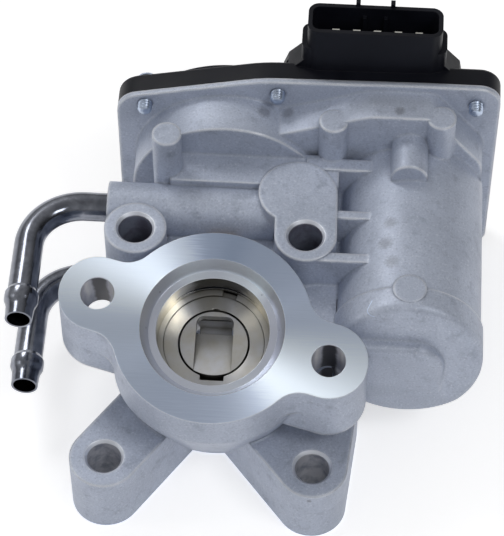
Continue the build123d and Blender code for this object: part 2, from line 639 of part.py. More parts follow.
def motor_pinion():
    outline = gear_face(PINION_TEETH, LINE_2 + pi + pi / PINION_TEETH) - Circle(ROTOR_SHAFT_R)
    return block(Pos(MOTOR_X, SHAFT_Z) * outline, PINION_FRONT_Y, PINION_FRONT_Y + PINION_LONG)


def brushes():
    """Two carbon blocks that run on the commutator."""
    body = block(Pos(MOTOR_X, SHAFT_Z) * Rectangle(2 * BRUSH_OUT, BRUSH_W), BRUSH_Y, BRUSH_Y + BRUSH_LONG)
    return body - rod(MOTOR_X, SHAFT_Z, COMMUTATOR_R + BRUSH_FIT, BRUSH_Y - 1, BRUSH_Y + BRUSH_LONG + 1)


def brush_holder():
    """Plastic card across the can with a box round each brush."""
    y1 = BRUSH_Y + BRUSH_LONG
    card = tube(MOTOR_X, SHAFT_Z, CAN_R - CAN_WALL, COMMUTATOR_R + 1.0, y1, y1 + HOLDER_THICK)
    box = block(Pos(MOTOR_X, SHAFT_Z) * Rectangle(2 * BRUSH_OUT, BRUSH_W + 2 * HOLDER_WALL),
                BRUSH_Y - HOLDER_WALL, y1 + 0.5)
    box -= rod(MOTOR_X, SHAFT_Z, COMMUTATOR_R + 2, 0, CAN_BACK_Y)
    return card + box - block(Pos(MOTOR_X, SHAFT_Z) * Rectangle(2 * BRUSH_OUT + 2, BRUSH_W), BRUSH_Y, y1)


def bearing(y0):
    """Sintered ring round the motor shaft."""
    return tube(MOTOR_X, SHAFT_Z, BEARING_R, ROTOR_SHAFT_R + ROTOR_FIT, y0, y0 + BEARING_LONG)


def motor_end_plate():
    """Cup that closes the can, with an ear for each of its two screws."""
    y0 = CAN_BACK_Y
    body = tube(MOTOR_X, SHAFT_Z, CAN_R, CAN_R - 1.8, y0, EAR_Y)
    body += rod(MOTOR_X, SHAFT_Z, CAN_R, y0, y0 + END_WEB)
    body += rod(MOTOR_X, SHAFT_Z, BEARING_R + 1.2, y0 + END_WEB - BEARING_LONG, y0 + END_WEB)
    for x, z in MOTOR_SCREWS:
        reach = (CAN_R - 2.6) / sqrt((x - MOTOR_X) ** 2 + (z - SHAFT_Z) ** 2)
        inner = (MOTOR_X + (x - MOTOR_X) * reach, SHAFT_Z + (z - SHAFT_Z) * reach)
        body += block(hull([(x, z, 3.2), (*inner, 2.6)]), EAR_Y, EAR_Y + EAR_THICK)
        body += rod(*inner, 2.6, y0 + 0.5, EAR_Y + 0.5)
        body -= rod(x, z, MOTOR_SCREW_R + 0.3, EAR_Y - 1, EAR_Y + EAR_THICK + 1)
    return body - rod(MOTOR_X, SHAFT_Z, BEARING_R, y0 - BEARING_LONG, y0 + END_WEB + 1)


def wave_washer():
    """Springy ring between the cap and the can."""
    return tube(MOTOR_X, SHAFT_Z, CAN_R - 0.6, CAN_R - 0.6 - WASHER_WIDE, CAP_Y + CAP_WALL, CAN_FRONT_Y)


# ---------------------------------------------------------------- cover and fixings


def cover_room():
    return Pos(0, SHAFT_Z) * Circle(COVER_ROOM_R) + right_outline(CASE_WALL)


def seal_ring():
    room = cover_room()
    return block(offset(room, SEAL_OUT) - offset(room, SEAL_IN), CASE_BACK, CASE_BACK + SEAL_THICK)


def socket():
    """Connector: a collar, an open shroud round the blades, and two tabs."""
    y0 = SHROUD_Y - SHROUD_D / 2
    collar = Pos(SHROUD_X, SHROUD_Y) * RectangleRounded(COLLAR_W, SHROUD_D - 1.2, 2.5)
    body = extrude(Plane.XY.offset(COLLAR_LOW) * collar, COLLAR_TOP - COLLAR_LOW)
    low, high = SHROUD_X - COLLAR_W / 2, SHROUD_X + COLLAR_W / 2
    flare = Polyline((low - 5, 62), (low - 3.6, 66.3), (low + 0.5, 71), (high - 0.5, 71.2),
                     (high + 4, 65.8), (high + 5, 60), close=True)
    body += block(make_face(flare), SHROUD_Y - 4, SHROUD_Y + 3)
    outer = Pos(SHROUD_X, SHROUD_Y) * RectangleRounded(SHROUD_W, SHROUD_D, 3)
    body += extrude(Plane.XY.offset(COLLAR_TOP - 8) * outer, SHROUD_TOP - COLLAR_TOP + 8)
    inner = RectangleRounded(SHROUD_W - 2 * SHROUD_WALL, SHROUD_D - 2 * SHROUD_WALL, 1.9)
    body -= extrude(Plane.XY.offset(SOCKET_FLOOR) * Pos(SHROUD_X, SHROUD_Y) * inner, SHROUD_TOP)
    for x in TAB_X:
        tab = Plane.XY.offset(SOCKET_FLOOR) * Pos(x, y0 + SHROUD_D) * Rectangle(1.2, 1.6)
        body += extrude(tab, SHROUD_TOP + 1.5 - SOCKET_FLOOR)
    for x in KEY_X:
        key = Plane.XY.offset(SOCKET_FLOOR) * Pos(x, y0 + SHROUD_D - SHROUD_WALL) * Rectangle(1.0, 2.0)
        body += extrude(key, SHROUD_TOP - 3 - SOCKET_FLOOR)
    return body


def terminals():
    """Five flat blades standing in the connector."""
    body = []
    for k in range(PIN_COUNT):
        x = PIN_MIDDLE + (k - (PIN_COUNT - 1) / 2) * PIN_PITCH
        blade = Plane.XY.offset(PIN_FOOT) * Pos(x, PIN_Y) * Rectangle(PIN_W, PIN_T)
        body.append(extrude(blade, PIN_TIP - PIN_FOOT))
    return body


def gear_cover():
    """Plastic cover with a dome over the sensor, a boss for the idler pin and the connector."""
    rim = block(case_outline(), CASE_BACK, COVER_BACK)
    rim = fillet(rim.edges().group_by(Axis.Y)[-1], 1.6)
    dome = rod(0, SHAFT_Z, DOME_R, COVER_BACK - 1, DOME_BACK)
    dome = fillet(dome.edges().group_by(Axis.Y)[-1], 2.5)
    crown = rod(0, SHAFT_Z, COVER_ROOM_R + 1.2, COVER_BACK - 1, COVER_BACK + CROWN)
    dome += fillet(crown.edges().group_by(Axis.Y)[-1], 0.9)
    boss = rod(IDLER_X, IDLER_Z, IDLER_PIN_R + 2.6, OUT_GEAR_BACK + GEAR_AIR, COVER_BACK + 1.8)
    body = rim + dome - block(cover_room(), CASE_BACK, COVER_BACK - COVER_WALL)
    body -= rod(0, SHAFT_Z, DOME_R - COVER_WALL, CASE_BACK, DOME_BACK - COVER_WALL)
    body += boss + socket()
    body -= rod(IDLER_X, IDLER_Z, IDLER_PIN_R, CASE_BACK, COVER_BACK - 0.4)
    for x, z in screw_spots():
        body -= rod(x, z, SCREW_R + SCREW_CLEAR, CASE_BACK - 1, COVER_BACK + 1)
        body -= rod(x, z, SCREW_HEAD_R + SCREW_CLEAR, COVER_BACK, COVER_BACK + 2 * CROWN)
    body -= block(offset(cover_room(), SEAL_OUT) - offset(cover_room(), SEAL_IN), CASE_BACK,
                  CASE_BACK + SEAL_THICK)
    for blade in terminals():
        body -= blade
    return body


def cover_screws():
    """Six screws through the cover into the plate, each with its tip showing in front."""
    screws = []
    for x, z in screw_spots():
        head = rod(x, z, SCREW_HEAD_R, COVER_BACK, COVER_BACK + SCREW_HEAD)
        head -= block(Pos(x, z) * RegularPolygon(1.7, 6), COVER_BACK + 0.5, COVER_BACK + SCREW_HEAD + 1)
        screws.append(head + rod(x, z, SCREW_R, PLATE_Y - SCREW_OUT, COVER_BACK + 0.5))
    return Compound(children=screws)


def motor_screws():
    """Two screws that hold the motor's end plate."""
    screws = []
    for x, z in MOTOR_SCREWS:
        head = rod(x, z, MOTOR_HEAD_R, EAR_Y + EAR_THICK, EAR_Y + EAR_THICK + MOTOR_HEAD)
        shank = rod(x, z, MOTOR_SCREW_R, EAR_Y - MOTOR_SCREW_SINK, EAR_Y + EAR_THICK + MOTOR_HEAD / 2)
        screws.append(head + shank)
    return Compound(children=screws)


def sensor_board():
    """Square board in the dome, behind the magnet."""
    plate = Pos(0, SHAFT_Z) * RectangleRounded(BOARD_SIZE, BOARD_SIZE, 2)
    return block(plate, DOME_BACK - COVER_WALL - BOARD_THICK, DOME_BACK - COVER_WALL)


def coolant_pipe(y, z, out):
    """Bent steel pipe from a coolant drum to a beaded hose end that faces the front."""
    start = DRUM_X + PIPE_SINK
    corner = PIPE_X + PIPE_BEND
    end = y - out
    run = Line((start, y, z), (corner, y, z))
    bend = JernArc(start=(corner, y, z), tangent=(-1, 0, 0), radius=PIPE_BEND, arc_size=90)
    path = run + bend + Line(bend @ 1, (PIPE_X, end + BEAD_BACK, z))
    pipe = sweep(across(start, y, z) * Circle(PIPE_R), path=path)
    hose = [(0, 0), (PIPE_R - 0.35, 0), (PIPE_R - 0.1, BEAD_BACK - 3), (BEAD_R, BEAD_BACK - 1.2),
            (BEAD_R, BEAD_BACK + 1.0), (PIPE_R, BEAD_BACK + 2.2), (PIPE_R, BEAD_BACK + 3),
            (0, BEAD_BACK + 3)]
    profile = make_face(Polyline(*hose, close=True))
    pipe += Pos(PIPE_X, end, z) * revolve(profile, Axis.Y)
    bore = run + bend + Line(bend @ 1, (PIPE_X, end - 1, z))
    hollow = sweep(across(start, y, z) * Circle(PIPE_R - PIPE_WALL), path=bore)
    return pipe - hollow


if __name__ == "__main__":
    save("valve_housing", housing())
    save("seat_sleeve", seat_sleeve())
    save("retaining_ring", retaining_ring())
    save("valve_shaft", valve_shaft())
    save("flap_disc", flap_disc())
    save("inner_bush", bush(BUSH_FRONT_Y, BUSH_LONG))
    save("shaft_seal", bush(SEAL_FRONT_Y, SEAL_LONG))
    save("outer_bush", bush(CAVITY_Y - 0.3 - BUSH_LONG, BUSH_LONG))
    save("output_gear", output_gear())
    save("sensor_magnet", sensor_magnet())
    save("return_spring", return_spring())
    save("intermediate_gear", intermediate_gear())
    save("idler_pin", idler_pin())
    save("motor_can", motor_can())
    save("motor_magnets", motor_magnets())
    save("armature_core", armature_core())
    save("armature_windings", armature_windings())
    save("commutator", commutator())
    save("motor_shaft", motor_shaft())
    save("motor_pinion", motor_pinion())
    save("motor_brushes", brushes())
    save("brush_holder", brush_holder())
    save("motor_front_bearing", bearing(CAN_FRONT_Y + CAN_WALL))
    save("motor_rear_bearing", bearing(CAN_BACK_Y + END_WEB - BEARING_LONG))
    save("motor_end_plate", motor_end_plate())
    save("motor_screws", motor_screws())
    save("wave_washer", wave_washer())
    save("gear_cover", gear_cover())
    save("cover_seal", seal_ring())
    save("cover_screws", cover_screws())
    save("connector_terminals", Compound(children=terminals()))
    save("sensor_board", sensor_board())
    save("upper_coolant_pipe", coolant_pipe(COOLANT_Y, COOLANT_Z, PIPE_OUT))
    save("lower_coolant_pipe", coolant_pipe(LOW_PIPE_Y, LOW_PIPE_Z, LOW_PIPE_OUT))
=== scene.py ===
import bpy
import json
import math
import numpy as np
from mathutils import Matrix, Vector


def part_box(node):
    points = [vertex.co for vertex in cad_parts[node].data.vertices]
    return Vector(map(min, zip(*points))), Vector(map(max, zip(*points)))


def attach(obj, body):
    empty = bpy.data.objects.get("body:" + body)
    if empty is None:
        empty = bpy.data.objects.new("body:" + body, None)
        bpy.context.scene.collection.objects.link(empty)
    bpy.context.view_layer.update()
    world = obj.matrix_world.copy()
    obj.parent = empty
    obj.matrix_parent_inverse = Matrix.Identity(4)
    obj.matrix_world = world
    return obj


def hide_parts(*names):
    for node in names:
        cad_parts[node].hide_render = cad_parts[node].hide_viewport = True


mm = 0.001

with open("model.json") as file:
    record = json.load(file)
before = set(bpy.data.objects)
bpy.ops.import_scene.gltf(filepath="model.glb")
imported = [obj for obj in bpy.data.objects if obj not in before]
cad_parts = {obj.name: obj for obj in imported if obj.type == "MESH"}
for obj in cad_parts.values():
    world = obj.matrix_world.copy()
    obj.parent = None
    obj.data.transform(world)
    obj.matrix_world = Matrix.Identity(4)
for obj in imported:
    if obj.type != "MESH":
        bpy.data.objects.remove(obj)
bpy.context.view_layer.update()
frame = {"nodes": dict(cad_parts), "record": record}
print("frame loaded:", len(frame["nodes"]), "nodes")

# places that several finishes share, read from the frame
mounts = {mount["name"]: mount for mount in frame["record"]["mounts"]}
inletAxis = Vector(mounts["inlet_face"]["axis"])
inletMiddle = Vector(mounts["inlet_bolts"]["pos_m"])
inletLean = math.atan2(-inletAxis.y, inletAxis.z)


def addNode(tree, kind, inputs=None, **settings):
    # a node with its properties set, and its sockets linked or given a value
    node = tree.nodes.new(kind)
    for name, value in settings.items():
        setattr(node, name, value)
    for name, value in (inputs or {}).items():
        socket = node.inputs[name]
        if isinstance(value, bpy.types.NodeSocket):
            tree.links.new(value, socket)
        else:
            socket.default_value = value
    return node


def maths(tree, operation, a, b=0.0, c=0.0):
    return addNode(tree, "ShaderNodeMath", {0: a, 1: b, 2: c}, operation=operation).outputs[0]


def both(tree, a, b):
    # one mask or value times another
    return maths(tree, "MULTIPLY", a, b)


def either(tree, *masks):
    # 1 wherever one of the masks is
    widest = masks[0]
    for mask in masks[1:]:
        widest = maths(tree, "MAXIMUM", widest, mask)
    return widest


def under(tree, value, limit):
    return maths(tree, "LESS_THAN", value, limit)


def over(tree, value, limit):
    return maths(tree, "GREATER_THAN", value, limit)


def near(tree, value, level, reach):
    return maths(tree, "COMPARE", value, level, reach)


def ramp(tree, value, stops, soft=False):
    # value through a colour ramp given as (place, grey or colour) pairs
    node = addNode(tree, "ShaderNodeValToRGB", {"Fac": value})
    node.color_ramp.interpolation = "EASE" if soft else "LINEAR"
    while len(node.color_ramp.elements) < len(stops):
        node.color_ramp.elements.new(0.5)
    for element, (place, shade) in zip(node.color_ramp.elements, stops):
        element.position = place
        element.color = (*shade, 1) if isinstance(shade, tuple) else (shade, shade, shade, 1)
    return node.outputs["Color"]


def spread(tree, value, low, high, toLow=0.0, toHigh=1.0):
    # value carried from one span to another, held at its ends
    return addNode(tree, "ShaderNodeMapRange", {"Value": value, "From Min": low, "From Max": high,
                                                "To Min": toLow, "To Max": toHigh}).outputs["Result"]


def mixColour(tree, amount, a, b):
    node = addNode(tree, "ShaderNodeMix", data_type="RGBA")
    for index, value in ((0, amount), (6, a), (7, b)):
        if isinstance(value, bpy.types.NodeSocket):
            tree.links.new(value, node.inputs[index])
        else:
            node.inputs[index].default_value = (*value, 1) if isinstance(value, tuple) else value
    return node.outputs[2]


def mixValue(tree, amount, a, b):
    return addNode(tree, "ShaderNodeMix", {0: amount, 2: a, 3: b}).outputs[0]


def noise(tree, where, scale, detail, rough, twist=0.0):
    return addNode(tree, "ShaderNodeTexNoise", {"Vector": where, "Scale": scale, "Detail": detail,
                                                "Roughness": rough, "Distortion": twist}).outputs["Fac"]


def turningRings(tree, radius, perMetre):
    # noise that changes with the distance from an axis alone, as a tool's marks do
    place = maths(tree, "MULTIPLY", radius, perMetre)
    return addNode(tree, "ShaderNodeTexNoise", {"W": place, "Scale": 1.0, "Detail": 3.0},
                   noise_dimensions="1D").outputs["Fac"]


def openness(tree, reach):
    # 1 in the open and less in corners, looking as far as reach
    return addNode(tree, "ShaderNodeAmbientOcclusion", {"Distance": reach}, samples=6).outputs["AO"]


def roundedEdges(tree, radius, samples=4):
    return addNode(tree, "ShaderNodeBevel", {"Radius": radius}, samples=samples).outputs["Normal"]


def startMaterial(name):
    material = bpy.data.materials.new(name)
    material.use_nodes = True
    tree = material.node_tree
    where = addNode(tree, "ShaderNodeTexCoord").outputs["Object"]
    return material, tree, tree.nodes["Principled BSDF"], where


def setShader(tree, shader, **values):
    # sockets by name, with spaces written as underscores
    for name, value in values.items():
        socket = shader.inputs[name.replace("_", " ")]
        if isinstance(value, bpy.types.NodeSocket):
            tree.links.new(value, socket)
        else:
            socket.default_value = (*value, 1) if isinstance(value, tuple) else value


def bump(tree, height, depth, normal=None, strength=1.0):
    inputs = {"Height": height, "Distance": depth, "Strength": strength}
    if normal:
        inputs["Normal"] = normal
    return addNode(tree, "ShaderNodeBump", inputs).outputs["Normal"]


def axisFrame(tree, where, origin, lean):
    # coordinates centred on a hole's axis, with Z along it: radius, height, place, and place without its height
    moved = addNode(tree, "ShaderNodeVectorMath", {0: where, 1: origin}, operation="SUBTRACT").outputs[0]
    turned = addNode(tree, "ShaderNodeVectorRotate", {"Vector": moved, "Angle": -lean}, rotation_type="X_AXIS")
    parts = addNode(tree, "ShaderNodeSeparateXYZ", {0: turned.outputs[0]})
    flat = addNode(tree, "ShaderNodeCombineXYZ", {0: parts.outputs[0], 1: parts.outputs[1]}).outputs[0]
    radius = addNode(tree, "ShaderNodeVectorMath", {0: flat}, operation="LENGTH").outputs["Value"]
    return radius, parts.outputs[2], turned.outputs[0], flat


def awayFromAxis(tree, flat, lean):
    # direction straight out from the axis, turned back into the part's own coordinates
    leaned = addNode(tree, "ShaderNodeVectorRotate", {"Vector": flat, "Angle": lean}, rotation_type="X_AXIS")
    return addNode(tree, "ShaderNodeVectorMath", {0: leaned.outputs[0]}, operation="NORMALIZE").outputs[0]


raggedSpan, raggedAngle = (0.2, 0.8), 0.12  # levels of the noise, and radians it shifts a sweep by


def aroundAxis(tree, flat, grain, stops):
    # value by direction round an axis, from (degrees, value) pairs between -180 and 180, with a ragged edge
    side = addNode(tree, "ShaderNodeSeparateXYZ", {0: flat}).outputs
    angle = maths(tree, "ARCTAN2", side[1], side[0])
    angle = maths(tree, "ADD", angle, spread(tree, grain, *raggedSpan, -raggedAngle, raggedAngle))
    stops = [((degrees + 180) / 360, value) for degrees, value in stops]
    return ramp(tree, spread(tree, angle, -math.pi, math.pi), stops, soft=True)


def paintedSheen(tree, shade, value, paintedShade, paintedHighlight):
    # painted light: shade drawn towards a painted shade under a half and towards a painted highlight over it
    shade = mixColour(tree, spread(tree, value, 0.5, 0.0), shade, paintedShade)
    return mixColour(tree, spread(tree, value, 0.5, 1.0), shade, paintedHighlight)


def spot(tree, where, centre, size, raggedness, grain):
    # soft patch round a point, 1 over half its size and 0 outside, with a ragged edge
    away = addNode(tree, "ShaderNodeVectorMath", {0: where, 1: tuple(c * mm for c in centre)},
                   operation="DISTANCE").outputs["Value"]
    ragged = maths(tree, "MULTIPLY_ADD", grain, raggedness * mm, away)
    return spread(tree, ragged, size * mm, size * mm * 0.55)


# in the looks below lengths are in millimetres, a noise is its scale, detail, roughness and twist, and a list
# of pairs says how much of a shade comes at each level of a noise
noiseSpan, lineSpan = (0.3, 0.7), (0.3, 0.72)  # levels between which noises and lines mostly lie

castLook = {
    "shade": (0.42, 0.465, 0.565), "paleShade": (0.52, 0.57, 0.685), "darkShade": (0.22, 0.25, 0.325),
    # the first shade on the next line is for the pale grain specks and for the painted highlight on edges
    "speckAndEdgeHighlightShade": (0.93, 0.95, 1.0), "darkSpotShade": (0.12, 0.12, 0.14),
    "roughness": (0.40, 0.54), "edgeHighlightRoughness": 0.30, "metal": 0.32,
    "cloud": (55, 5, 0.6, 0.4), "blotch": (210, 3, 0.65), "grain": (1700, 3, 0.7), "pitScale": 620,
    "grainDepth": 0.08, "cornerReach": 2.5, "edge": 1.5,
    # stops for the pale clouds, the dark blotches and pits, the painted shade in the corners, and the dark and
    # pale grain
    "cloudPale": [(0.32, 0.0), (0.70, 1.0)], "blotchDark": [(0.56, 0.0), (0.80, 0.55)],
    "pitDark": [(0.05, 0.5), (0.12, 0.0)], "paintedCornerShade": [(0.25, 0.45), (0.75, 0.0)],
    "grainDark": [(0.30, 0.42), (0.46, 0.0)], "grainPale": [(0.56, 0.0), (0.72, 0.34)],
    # a painted highlight lies along an edge where it turns, stands clear of corners, and a patch of the
    # blotches lies
    "edgeHighlightTurn": (0.985, 0.86), "edgeHighlightClear": (0.80, 0.96), "edgeHighlightPatch": (0.30, 0.62, 0.40, 0.85),
    # centre, size, ragged edge and depth of each dark spot
    "darkSpots": [
        ((9.6, 58, 60), 2.9, 1.0, 0.42), ((16.2, 59.4, 58.5), 2.7, 1.0, 0.42),
        ((46.6, 54.8, 67), 2.3, 1.0, 0.5), ((45.3, 26.4, 54.4), 3.4, 2.2, 0.40),
        ((44.2, 19.8, 53.9), 3.8, 2.4, 0.40), ((46.1, 13.4, 54.5), 3.4, 2.0, 0.40),
        ((27.4, -39.6, 17.9), 1.1, 0.6, 0.6), ((-14.6, 2.2, 50.9), 0.6, 0.5, 0.8),
        ((-17.5, -7.6, 48.1), 0.5, 0.4, 0.8), ((12.3, 3.5, 50.1), 0.6, 0.6, 0.8),
        ((17.4, -6.3, 48.3), 0.5, 0.5, 0.7),
    ],
}


def castShade(tree, cloud, blotch, grain, pits, corner):
    # clouded grey, darker in blotches and pits and in the grain, with painted shade in the corners
    look = castLook
    shade = mixColour(tree, ramp(tree, cloud, look["cloudPale"]), look["shade"], look["paleShade"])
    darkened = {"blotchDark": blotch, "pitDark": pits, "paintedCornerShade": corner, "grainDark": grain}
    for stops, level in darkened.items():
        shade = mixColour(tree, ramp(tree, level, look[stops]), shade, look["darkShade"])
    return mixColour(tree, ramp(tree, grain, look["grainPale"]), shade, look["speckAndEdgeHighlightShade"])


machinedLook = {
    # two of these shades are the painted shade and painted highlight of the faced surfaces
    "shade": (0.60, 0.69, 0.87), "paleShade": (0.69, 0.78, 0.95), "paintedShade": (0.38, 0.47, 0.64),
    "paintedHighlight": (0.84, 0.92, 1.0), "roughness": (0.44, 0.53), "metal": 0.95, "aniso": 0.86, "edge": 0.25,
    "faceRadius": 42.5, "faceDepth": 0.08, "baseDepth": 0.1,
    "ringsPerMetre": 9000, "ringDepth": 0.004,
    "strokeTurn": 0.5, "strokeStretch": 26, "stroke": (90, 6, 0.7), "strokePale": [(0.35, 0.0), (0.72, 1.0)],
    # painted highlight and painted shade on the faced surfaces, by direction round the inlet
    "sweep": [(-180, 0.66), (-150, 0.56), (-120, 0.50), (-90, 0.50), (-62, 0.58), (-40, 1.0), (-14, 0.96),
              (8, 0.55), (40, 0.40), (60, 0.30), (80, 0.10), (95, 0.20), (112, 0.72), (135, 0.84), (165, 0.95),
              (180, 0.66)],
}


def facedShade(tree, flat, brushed):
    look = machinedLook
    shade = mixColour(tree, ramp(tree, brushed, look["strokePale"]), look["shade"], look["paleShade"])
    # brushed tone, then painted highlight and shade by direction round the inlet
    return paintedSheen(tree, shade, aroundAxis(tree, flat, brushed, look["sweep"]), look["paintedShade"], look["paintedHighlight"])


boreLook = {
    "shade": (0.50, 0.52, 0.57), "warmShade": (0.52, 0.49, 0.40), "warmPatch": [(0.40, 0.0), (0.62, 1.0)],
    # painted shade and painted gold reflection for the wall, and a painted shadow for the ring's groove
    "paintedShade": (0.030, 0.026, 0.020), "paintedGoldReflection": (1.0, 0.93, 0.74), "paintedGrooveShadow": (0.030, 0.028, 0.026),
    # the mouth's own shade, then its painted shade and painted highlight
    "mouthShade": (0.56, 0.59, 0.68), "mouthPaintedShade": (0.24, 0.26, 0.32), "mouthPaintedHighlight": (0.84, 0.92, 1.0),
    "roughness": 0.26, "mouthMetal": 0.6,
    # heights under the face: where the mouth ends, the ring's groove, and how deep the bore is seen
    "mouth": -3.9, "groove": (-13.55, -12.15), "deepest": -16,
    # radius that counts as the bore, in metres, by height from 20 under the face to the face
    "reachFrom": -20,
    "reach": [(0.0, 0.0152), (0.29, 0.0152), (0.291, 0.0165), (0.80, 0.0165), (0.801, 0.01915),
              (1.0, 0.01915)],
    # painted light round the wall: painted shadow at the far side, painted gold reflections either side of it
    "wallPaintedSweep": [(-180, 0.45), (-120, 0.55), (-60, 0.55), (0, 0.40), (22, 0.55), (38, 0.95), (52, 0.60),
                  (66, 0.06), (108, 0.04), (124, 0.55), (142, 1.0), (158, 0.62), (180, 0.45)],
    # painted highlight and shade round the mouth, by direction
    "mouthPaintedSweep": [(-180, 0.50), (-120, 0.55), (-60, 0.66), (0, 0.46), (30, 0.56), (48, 1.0), (66, 0.78),
                   (90, 0.66), (115, 0.80), (140, 0.56), (180, 0.50)],
}


def boredShade(tree, flat, height, inMouth, cloud, blotch):
    # painted shade and painted gold reflections round the wall, clean metal with painted highlight and shade at
    # the mouth, and a painted shadow in the ring's groove
    look = boreLook
    wall = mixColour(tree, ramp(tree, cloud, look["warmPatch"]), look["shade"], look["warmShade"])
    wall = paintedSheen(tree, wall, aroundAxis(tree, flat, blotch, look["wallPaintedSweep"]), look["paintedShade"], look["paintedGoldReflection"])
    mouthLight = aroundAxis(tree, flat, blotch, look["mouthPaintedSweep"])
    mouth = paintedSheen(tree, look["mouthShade"], mouthLight, look["mouthPaintedShade"], look["mouthPaintedHighlight"])
    low, high = look["groove"]
    inGroove = near(tree, height, (low + high) / 2 * mm, (high - low) / 2 * mm)
    return mixColour(tree, inGroove, mixColour(tree, inMouth, wall, mouth), look["paintedGrooveShadow"])


earHoleLook = {
    # the wall's own shade, then painted shade and painted highlight for it
    "shade": (0.62, 0.63, 0.70), "paintedShade": (0.03, 0.028, 0.034), "paintedHighlight": (1.0, 1.0, 1.0), "metal": 0.15,
    "radius": 5.4, "turn": -14.2, "under": -0.7,
    # the painted light on the wall falls off with depth: from and to heights, and their levels
    "depth": (-17, -7), "depthLevels": (0.45, 1.0),
    # painted reflections either side of each hole's wall, and painted shade at its far side
    "sweep": [(-180, 0.50), (-90, 0.40), (0, 0.50), (22, 0.55), (40, 1.0), (56, 0.70), (70, 0.05), (108, 0.05),
              (122, 0.70), (138, 1.0), (156, 0.55), (180, 0.50)],
}


def earHoles(tree, where, height, blotch):
    # mask of the bolt holes through the ears, and the painted light round each one's own axis
    look = earHoleLook
    span, turn = mounts["inlet_bolts"]["dims"]["pcd_mm"] / 2 * mm, math.radians(look["turn"])
    deep, shallow = (place * mm for place in look["depth"])
    inside, light = [], []
    for side in (1, -1):
        x, y = side * span * math.cos(turn), side * span * math.sin(turn)
        centre = inletMiddle + Vector((x, y * math.cos(inletLean), y * math.sin(inletLean)))
        holeRadius, holeHeight, _, holeFlat = axisFrame(tree, where, centre, inletLean)
        inside.append(under(tree, holeRadius, look["radius"] * mm))
        light.append(both(tree, aroundAxis(tree, holeFlat, blotch, look["sweep"]),
                          spread(tree, holeHeight, deep, shallow, *look["depthLevels"])))
    mask = both(tree, either(tree, *inside), under(tree, height, look["under"] * mm))
    return mask, mixValue(tree, inside[1], *light)


baseHoleLook = {
    # painted shade inside the holes, darker in the rear pair than the front
    "paintedWallShades": {"front_bolts": (0.52, 0.53, 0.58), "rear_bolts": (0.13, 0.13, 0.18)},
    "mottle": [(0.42, 0.0), (0.62, 0.8)], "rimShade": (0.80, 0.83, 0.90),
    "wallRadius": 4.7, "rimRadius": 5.4, "rimHeight": 0.35, "rimDepth": 0.36,
}


def baseHoles(tree, where, level):
    # masks of the base holes' cast walls, one for each pattern, and of all their bright rims
    look = baseHoleLook
    walls, rims = {}, []
    for pattern in look["paintedWallShades"]:
        span = mounts[pattern]["dims"]["spacing_x_mm"] / 2 * mm
        _, y, top = mounts[pattern]["pos_m"]
        radii = [axisFrame(tree, where, (x, y, 0), 0)[0] for x in (span, -span)]
        nearest = maths(tree, "MINIMUM", *radii)
        walls[pattern] = both(tree, under(tree, nearest, look["wallRadius"] * mm), under(tree, level, top))
        atRim = near(tree, level, top + look["rimHeight"] * mm, look["rimDepth"] * mm)
        rims.append(both(tree, under(tree, nearest, look["rimRadius"] * mm), atRim))
    return walls, either(tree, *rims)


